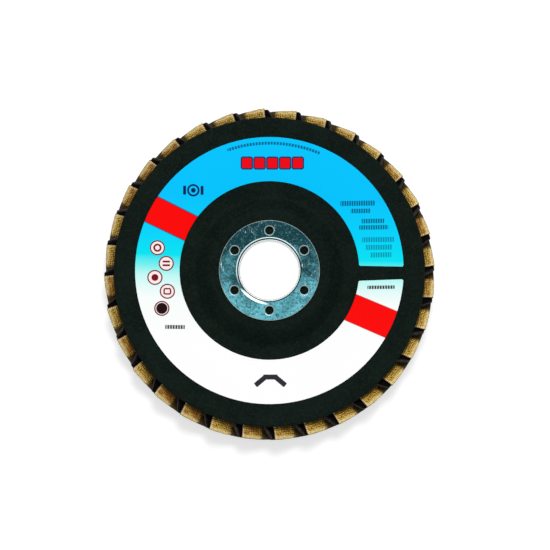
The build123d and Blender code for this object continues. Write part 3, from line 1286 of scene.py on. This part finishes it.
shade = spot.cells(2.4, "Color").parts()[0]
grit = mixed(shade, tint(24, 20, 18), tint(70, 60, 52))
on_front = depth.ease(-1.03, -1.08)
finish_with(
    shader,
    Base_Color=mixed(on_front, dyed, grit),
    Roughness=0.82 - 0.25 * on_front * shade,
    relief=0.05 * (1 - on_front) * (twill + fibre) + 0.25 * on_front * spot.cells(2.4),
)
dress(material, *dark_flaps)

# %% [markdown]
# ## The resin that holds the flaps
# The adhesive bed is the CAD solid itself, because the print of every flap in it has to
# fit. It is cast epoxy, brown and slightly glossy, with bubbles and the dust of the
# flaps in it.

# %% Finish of the adhesive bed
material, shader, spot = start_finish("cast_epoxy", 0.4)
swirl = spot.noise(0.5, 3.0)
bubbles = spot.cells(0.9).ease(0.16, 0.1)
cast = mixed(swirl.ease(0.35, 0.65), tint(52, 34, 16), tint(96, 66, 30))
cast = mixed(bubbles * 0.6, cast, tint(150, 116, 66))
finish_with(shader, Base_Color=cast, Roughness=0.3 + 0.25 * swirl, relief=0.15 * swirl - 0.05 * bubbles)
dress(material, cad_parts["adhesive_bed"])

# %% [markdown]
# ## Floor, light and camera
# The disc lies on a white sheet. To the camera the sheet has its own glow, so that it
# comes out white and keeps a faint shadow, and to the disc it is plain paper that
# bounces light back. The same is done with the sky.
# Under the disc the sheet has no glow, so that the hollow stays dark, except for the
# round patch that is seen through the bore, which glows at full strength with no shadow,
# a painted light in place of the shade there.
# One soft lamp above the far side, a little to the right, gives the relief its shading,
# and the sky fills in. Together they light a flat surface so that a colour comes out as
# it is written.

# %% Floor
def seen_directly(wire):
    """1 for a ray from the camera, from a mirror or through glass, and 0 for others."""
    kinds = ("Camera", "Glossy", "Transmission")
    camera, glossy, through = (
        wire.node("ShaderNodeLightPath", output=f"Is {kind} Ray") for kind in kinds
    )
    return camera.most(glossy).most(through)


half = 3.0
square = [(-half, -half, 0), (half, -half, 0), (half, half, 0), (-half, half, 0)]
floor_mesh = bpy.data.meshes.new("floor")
floor_mesh.from_pydata(square, [], [(0, 1, 2, 3)])
floor = bpy.data.objects.new("floor", floor_mesh)
bpy.context.scene.collection.objects.link(floor)
floor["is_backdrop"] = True

material = bpy.data.materials.new("white_sheet")
material.use_nodes = True
tree = material.node_tree
tree.nodes.clear()
start = Wire(tree)
white = (1, 1, 1, 1)
plain = start.node("ShaderNodeBsdfDiffuse", None, {"Color": (0.8, 0.8, 0.8, 1)})
dim = start.node("ShaderNodeBsdfDiffuse", None, {"Color": (0.6, 0.6, 0.6, 1)})
glow = start.node("ShaderNodeEmission", None, {"Color": white, "Strength": 0.56})
full_glow = start.node("ShaderNodeEmission", None, {"Color": white, "Strength": 1.0})
shaded = start.node("ShaderNodeAddShader", None, {0: dim, 1: glow})
off_axis = from_point(*in_the_room(start).parts()[:2])
# Painted light: the patch seen through the bore glows at full strength and shows no shadow.
through_bore = off_axis.ease(15, 13)
far_away = off_axis.ease(110, 320)
under_disc = off_axis.ease(13, 15) * off_axis.ease(61, 57)
bright = start.node("ShaderNodeMixShader", None, {0: through_bore.most(far_away), 1: shaded, 2: full_glow})
bright = start.node("ShaderNodeMixShader", None, {0: under_disc, 1: bright, 2: plain})
sheet = start.node("ShaderNodeMixShader", None, {0: seen_directly(start), 1: plain, 2: bright})
start.node("ShaderNodeOutputMaterial", None, {"Surface": sheet})
dress(material, floor)

# %% Sky and lamp
world = bpy.data.worlds.new("sky")
bpy.context.scene.world = world
world.use_nodes = True
tree = world.node_tree
tree.nodes.clear()
start = Wire(tree)
filling = start.node("ShaderNodeBackground", None, {"Color": white, "Strength": 0.5})
backdrop = start.node("ShaderNodeBackground", None, {"Color": white, "Strength": 1.0})
both = start.node("ShaderNodeMixShader", None, {0: seen_directly(start), 1: filling, 2: backdrop})
start.node("ShaderNodeOutputWorld", None, {"Surface": both})

lamp = bpy.data.objects.new("key_lamp", bpy.data.lights.new("key_lamp", "AREA"))
lamp.data.size = 0.3
lamp.data.energy = 5.45
lamp.location = (0.07, 0.4, 0.92)
lamp.rotation_euler = lamp.location.to_track_quat("Z", "Y").to_euler()
bpy.context.scene.collection.objects.link(lamp)
print("lamp at", tuple(round(v, 2) for v in lamp.location), "m,", lamp.data.energy, "W")

# %% Camera
distance = 0.561
elevation = math.radians(84)
view_width = 0.2078
image_width = 550
axis_at = (269.4, 271.0)
label_middle_r = 41
sensor = 36

look = np.array([0, math.cos(elevation), -math.sin(elevation)])
image_up = np.array([0, math.sin(elevation), math.cos(elevation)])
label_height = (back_apex + label_middle_r * cone_rise) * MM
per_pixel = view_width / image_width
aim = np.array([0, 0, label_height])
aim = aim + np.array([1, 0, 0]) * (image_width / 2 - axis_at[0]) * per_pixel
aim = aim - image_up * (image_width / 2 - axis_at[1]) * per_pixel

camera = bpy.data.objects.new("camera", bpy.data.cameras.new("camera"))
camera.data.sensor_width = sensor
camera.data.lens = sensor * distance / view_width
camera.location = aim - look * distance
camera.rotation_euler = (math.pi / 2 - elevation, 0, 0)
bpy.context.scene.collection.objects.link(camera)
bpy.context.scene.camera = camera
bpy.context.scene.view_settings.view_transform = "Standard"
print(f"lens {camera.data.lens:.1f} mm at", [round(float(v), 4) for v in camera.location])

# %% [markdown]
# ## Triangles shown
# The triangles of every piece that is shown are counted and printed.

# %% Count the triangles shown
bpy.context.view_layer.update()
triangles = 0
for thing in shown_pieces():
    thing.data.calc_loop_triangles()
    triangles += len(thing.data.loop_triangles)
print("triangles shown:", triangles)
